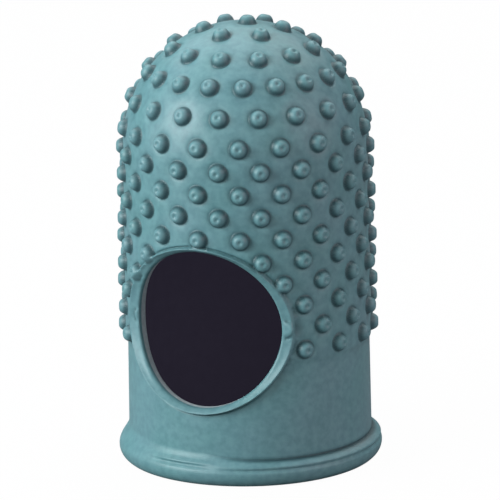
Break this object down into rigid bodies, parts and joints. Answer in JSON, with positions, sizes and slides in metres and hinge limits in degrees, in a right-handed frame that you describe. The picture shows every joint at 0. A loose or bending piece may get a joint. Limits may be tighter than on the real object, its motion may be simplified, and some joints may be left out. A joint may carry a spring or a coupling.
{
  "type": "finger cot",
  "caption": "Nubbed rubber finger cot with a closed round tip, a large round vent in one side and a beaded open mouth.",
  "frame": {"origin": "centre of the open mouth, on the plane that the bead stands on", "axes": "+Z along the cot from its mouth to its closed tip; the vent faces -Y"},
  "size_m": [0.022, 0.022, 0.0372],
  "materials": {
    "rubber": "satin moulded rubber, grey green"
  },
  "bodies": {
    "root": {"finger_cot": "rubber"}
  },
  "joints": []
}
